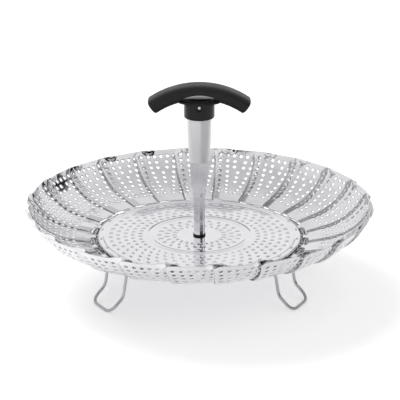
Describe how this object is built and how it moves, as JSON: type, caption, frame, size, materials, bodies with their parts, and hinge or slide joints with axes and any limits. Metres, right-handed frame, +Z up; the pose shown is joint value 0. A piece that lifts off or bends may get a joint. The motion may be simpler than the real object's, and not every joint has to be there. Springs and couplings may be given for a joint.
{
  "type": "folding steamer basket",
  "caption": "Perforated round steel steaming plate with overlapping hinged petals, folding wire legs and a telescoping centre post with an arched black grip.",
  "frame": {"origin": "on the floor, at the bottom of the feet, under the middle of the plate and the post", "axes": "+Z up along the post, +X to the right in the picture, -Y towards the viewer"},
  "size_m": [0.2534, 0.2534, 0.1577],
  "materials": {
    "polished_steel": "bright polished stainless steel, mirror-like with fine wear",
    "petal_steel": "polished thin stainless sheet, perforated",
    "satin_steel": "satin stainless steel with faint lengthwise bands",
    "steel_wire": "drawn stainless wire, softly shiny",
    "satin_black": "satin black heat-resistant plastic",
    "gloss_black": "smooth glossy black plastic"
  },
  "bodies": {
    "base": {"base_plate": "polished_steel", "hinge_wire": "steel_wire", "post_rod": "polished_steel", "post_nut": "satin_steel", "leg_clip_1": "satin_steel", "leg_clip_2": "satin_steel", "leg_clip_3": "satin_steel"},
    "petal_01": {"petal_01": "petal_steel"},
    "petal_02": {"petal_02": "petal_steel"},
    "petal_03": {"petal_03": "petal_steel"},
    "petal_04": {"petal_04": "petal_steel"},
    "petal_05": {"petal_05": "petal_steel"},
    "petal_06": {"petal_06": "petal_steel"},
    "petal_07": {"petal_07": "petal_steel"},
    "petal_08": {"petal_08": "petal_steel"},
    "petal_09": {"petal_09": "petal_steel"},
    "petal_10": {"petal_10": "petal_steel"},
    "petal_11": {"petal_11": "petal_steel"},
    "petal_12": {"petal_12": "petal_steel"},
    "petal_13": {"petal_13": "petal_steel"},
    "petal_14": {"petal_14": "petal_steel"},
    "petal_15": {"petal_15": "petal_steel"},
    "petal_16": {"petal_16": "petal_steel"},
    "petal_17": {"petal_17": "petal_steel"},
    "petal_18": {"petal_18": "petal_steel"},
    "petal_19": {"petal_19": "petal_steel"},
    "petal_20": {"petal_20": "petal_steel"},
    "petal_21": {"petal_21": "petal_steel"},
    "petal_22": {"petal_22": "petal_steel"},
    "petal_23": {"petal_23": "petal_steel"},
    "petal_24": {"petal_24": "petal_steel"},
    "leg_1": {"leg_1": "steel_wire"},
    "leg_2": {"leg_2": "steel_wire"},
    "leg_3": {"leg_3": "steel_wire"},
    "middle": {"middle_tube": "polished_steel"},
    "handle": {"outer_tube": "satin_steel", "grip_collar": "gloss_black", "grip_pin_front": "satin_steel", "grip_pin_back": "satin_steel", "grip_arch": "satin_black"}
  },
  "joints": [
    {"name": "petal_01_hinge", "type": "hinge", "parent": "base", "child": "petal_01", "pos_m": [0.0776, 0, 0.0374], "axis": [0.0698, -0.9976, 0], "range_deg": [0, 75]},
    {"name": "petal_02_hinge", "type": "hinge", "parent": "base", "child": "petal_02", "pos_m": [0.07496, 0.02008, 0.0374], "axis": [0.3256, -0.9455, 0], "range_deg": [0, 75]},
    {"name": "petal_03_hinge", "type": "hinge", "parent": "base", "child": "petal_03", "pos_m": [0.0672, 0.0388, 0.0374], "axis": [0.5592, -0.829, 0], "range_deg": [0, 75]},
    {"name": "petal_04_hinge", "type": "hinge", "parent": "base", "child": "petal_04", "pos_m": [0.05487, 0.05487, 0.0374], "axis": [0.7547, -0.6561, 0], "range_deg": [0, 75]},
    {"name": "petal_05_hinge", "type": "hinge", "parent": "base", "child": "petal_05", "pos_m": [0.0388, 0.0672, 0.0374], "axis": [0.8988, -0.4384, 0], "range_deg": [0, 75]},
    {"name": "petal_06_hinge", "type": "hinge", "parent": "base", "child": "petal_06", "pos_m": [0.02008, 0.07496, 0.0374], "axis": [0.9816, -0.1908, 0], "range_deg": [0, 75]},
    {"name": "petal_07_hinge", "type": "hinge", "parent": "base", "child": "petal_07", "pos_m": [0, 0.0776, 0.0374], "axis": [0.9976, 0.0698, 0], "range_deg": [0, 75]},
    {"name": "petal_08_hinge", "type": "hinge", "parent": "base", "child": "petal_08", "pos_m": [-0.02008, 0.07496, 0.0374], "axis": [0.9455, 0.3256, 0], "range_deg": [0, 75]},
    {"name": "petal_09_hinge", "type": "hinge", "parent": "base", "child": "petal_09", "pos_m": [-0.0388, 0.0672, 0.0374], "axis": [0.829, 0.5592, 0], "range_deg": [0, 75]},
    {"name": "petal_10_hinge", "type": "hinge", "parent": "base", "child": "petal_10", "pos_m": [-0.05487, 0.05487, 0.0374], "axis": [0.6561, 0.7547, 0], "range_deg": [0, 75]},
    {"name": "petal_11_hinge", "type": "hinge", "parent": "base", "child": "petal_11", "pos_m": [-0.0672, 0.0388, 0.0374], "axis": [0.4384, 0.8988, 0], "range_deg": [0, 75]},
    {"name": "petal_12_hinge", "type": "hinge", "parent": "base", "child": "petal_12", "pos_m": [-0.07496, 0.02008, 0.0374], "axis": [0.1908, 0.9816, 0], "range_deg": [0, 75]},
    {"name": "petal_13_hinge", "type": "hinge", "parent": "base", "child": "petal_13", "pos_m": [-0.0776, 0, 0.0374], "axis": [-0.0698, 0.9976, 0], "range_deg": [0, 75]},
    {"name": "petal_14_hinge", "type": "hinge", "parent": "base", "child": "petal_14", "pos_m": [-0.07496, -0.02008, 0.0374], "axis": [-0.3256, 0.9455, 0], "range_deg": [0, 75]},
    {"name": "petal_15_hinge", "type": "hinge", "parent": "base", "child": "petal_15", "pos_m": [-0.0672, -0.0388, 0.0374], "axis": [-0.5592, 0.829, 0], "range_deg": [0, 75]},
    {"name": "petal_16_hinge", "type": "hinge", "parent": "base", "child": "petal_16", "pos_m": [-0.05487, -0.05487, 0.0374], "axis": [-0.7547, 0.6561, 0], "range_deg": [0, 75]},
    {"name": "petal_17_hinge", "type": "hinge", "parent": "base", "child": "petal_17", "pos_m": [-0.0388, -0.0672, 0.0374], "axis": [-0.8988, 0.4384, 0], "range_deg": [0, 75]},
    {"name": "petal_18_hinge", "type": "hinge", "parent": "base", "child": "petal_18", "pos_m": [-0.02008, -0.07496, 0.0374], "axis": [-0.9816, 0.1908, 0], "range_deg": [0, 75]},
    {"name": "petal_19_hinge", "type": "hinge", "parent": "base", "child": "petal_19", "pos_m": [0, -0.0776, 0.0374], "axis": [-0.9976, -0.0698, 0], "range_deg": [0, 75]},
    {"name": "petal_20_hinge", "type": "hinge", "parent": "base", "child": "petal_20", "pos_m": [0.02008, -0.07496, 0.0374], "axis": [-0.9455, -0.3256, 0], "range_deg": [0, 75]},
    {"name": "petal_21_hinge", "type": "hinge", "parent": "base", "child": "petal_21", "pos_m": [0.0388, -0.0672, 0.0374], "axis": [-0.829, -0.5592, 0], "range_deg": [0, 75]},
    {"name": "petal_22_hinge", "type": "hinge", "parent": "base", "child": "petal_22", "pos_m": [0.05487, -0.05487, 0.0374], "axis": [-0.6561, -0.7547, 0], "range_deg": [0, 75]},
    {"name": "petal_23_hinge", "type": "hinge", "parent": "base", "child": "petal_23", "pos_m": [0.0672, -0.0388, 0.0374], "axis": [-0.4384, -0.8988, 0], "range_deg": [0, 75]},
    {"name": "petal_24_hinge", "type": "hinge", "parent": "base", "child": "petal_24", "pos_m": [0.07496, -0.02008, 0.0374], "axis": [-0.1908, -0.9816, 0], "range_deg": [0, 75]},
    {"name": "leg_1_fold", "type": "hinge", "parent": "base", "child": "leg_1", "pos_m": [0.05976, -0.03245, 0.0348], "axis": [0.4772, 0.8788, 0], "range_deg": [0, 90]},
    {"name": "leg_2_fold", "type": "hinge", "parent": "base", "child": "leg_2", "pos_m": [-0.00178, 0.06798, 0.0348], "axis": [-0.9997, -0.0262, 0], "range_deg": [0, 90]},
    {"name": "leg_3_fold", "type": "hinge", "parent": "base", "child": "leg_3", "pos_m": [-0.05798, -0.03553, 0.0348], "axis": [0.5225, -0.8526, 0], "range_deg": [0, 90]},
    {"name": "middle_slide", "type": "slide", "parent": "base", "child": "middle", "axis": [0, 0, 1], "range_m": [-0.029, 0]},
    {"name": "handle_slide", "type": "slide", "parent": "middle", "child": "handle", "axis": [0, 0, 1], "range_m": [-0.0255, 0]}
  ],
  "couplings": [
    {"joint": "petal_02_hinge", "follows": "petal_01_hinge", "ratio": 1},
    {"joint": "petal_03_hinge", "follows": "petal_01_hinge", "ratio": 1},
    {"joint": "petal_04_hinge", "follows": "petal_01_hinge", "ratio": 1},
    {"joint": "petal_05_hinge", "follows": "petal_01_hinge", "ratio": 1},
    {"joint": "petal_06_hinge", "follows": "petal_01_hinge", "ratio": 1},
    {"joint": "petal_07_hinge", "follows": "petal_01_hinge", "ratio": 1},
    {"joint": "petal_08_hinge", "follows": "petal_01_hinge", "ratio": 1},
    {"joint": "petal_09_hinge", "follows": "petal_01_hinge", "ratio": 1},
    {"joint": "petal_10_hinge", "follows": "petal_01_hinge", "ratio": 1},
    {"joint": "petal_11_hinge", "follows": "petal_01_hinge", "ratio": 1},
    {"joint": "petal_12_hinge", "follows": "petal_01_hinge", "ratio": 1},
    {"joint": "petal_13_hinge", "follows": "petal_01_hinge", "ratio": 1},
    {"joint": "petal_14_hinge", "follows": "petal_01_hinge", "ratio": 1},
    {"joint": "petal_15_hinge", "follows": "petal_01_hinge", "ratio": 1},
    {"joint": "petal_16_hinge", "follows": "petal_01_hinge", "ratio": 1},
    {"joint": "petal_17_hinge", "follows": "petal_01_hinge", "ratio": 1},
    {"joint": "petal_18_hinge", "follows": "petal_01_hinge", "ratio": 1},
    {"joint": "petal_19_hinge", "follows": "petal_01_hinge", "ratio": 1},
    {"joint": "petal_20_hinge", "follows": "petal_01_hinge", "ratio": 1},
    {"joint": "petal_21_hinge", "follows": "petal_01_hinge", "ratio": 1},
    {"joint": "petal_22_hinge", "follows": "petal_01_hinge", "ratio": 1},
    {"joint": "petal_23_hinge", "follows": "petal_01_hinge", "ratio": 1},
    {"joint": "petal_24_hinge", "follows": "petal_01_hinge", "ratio": 1}
  ]
}
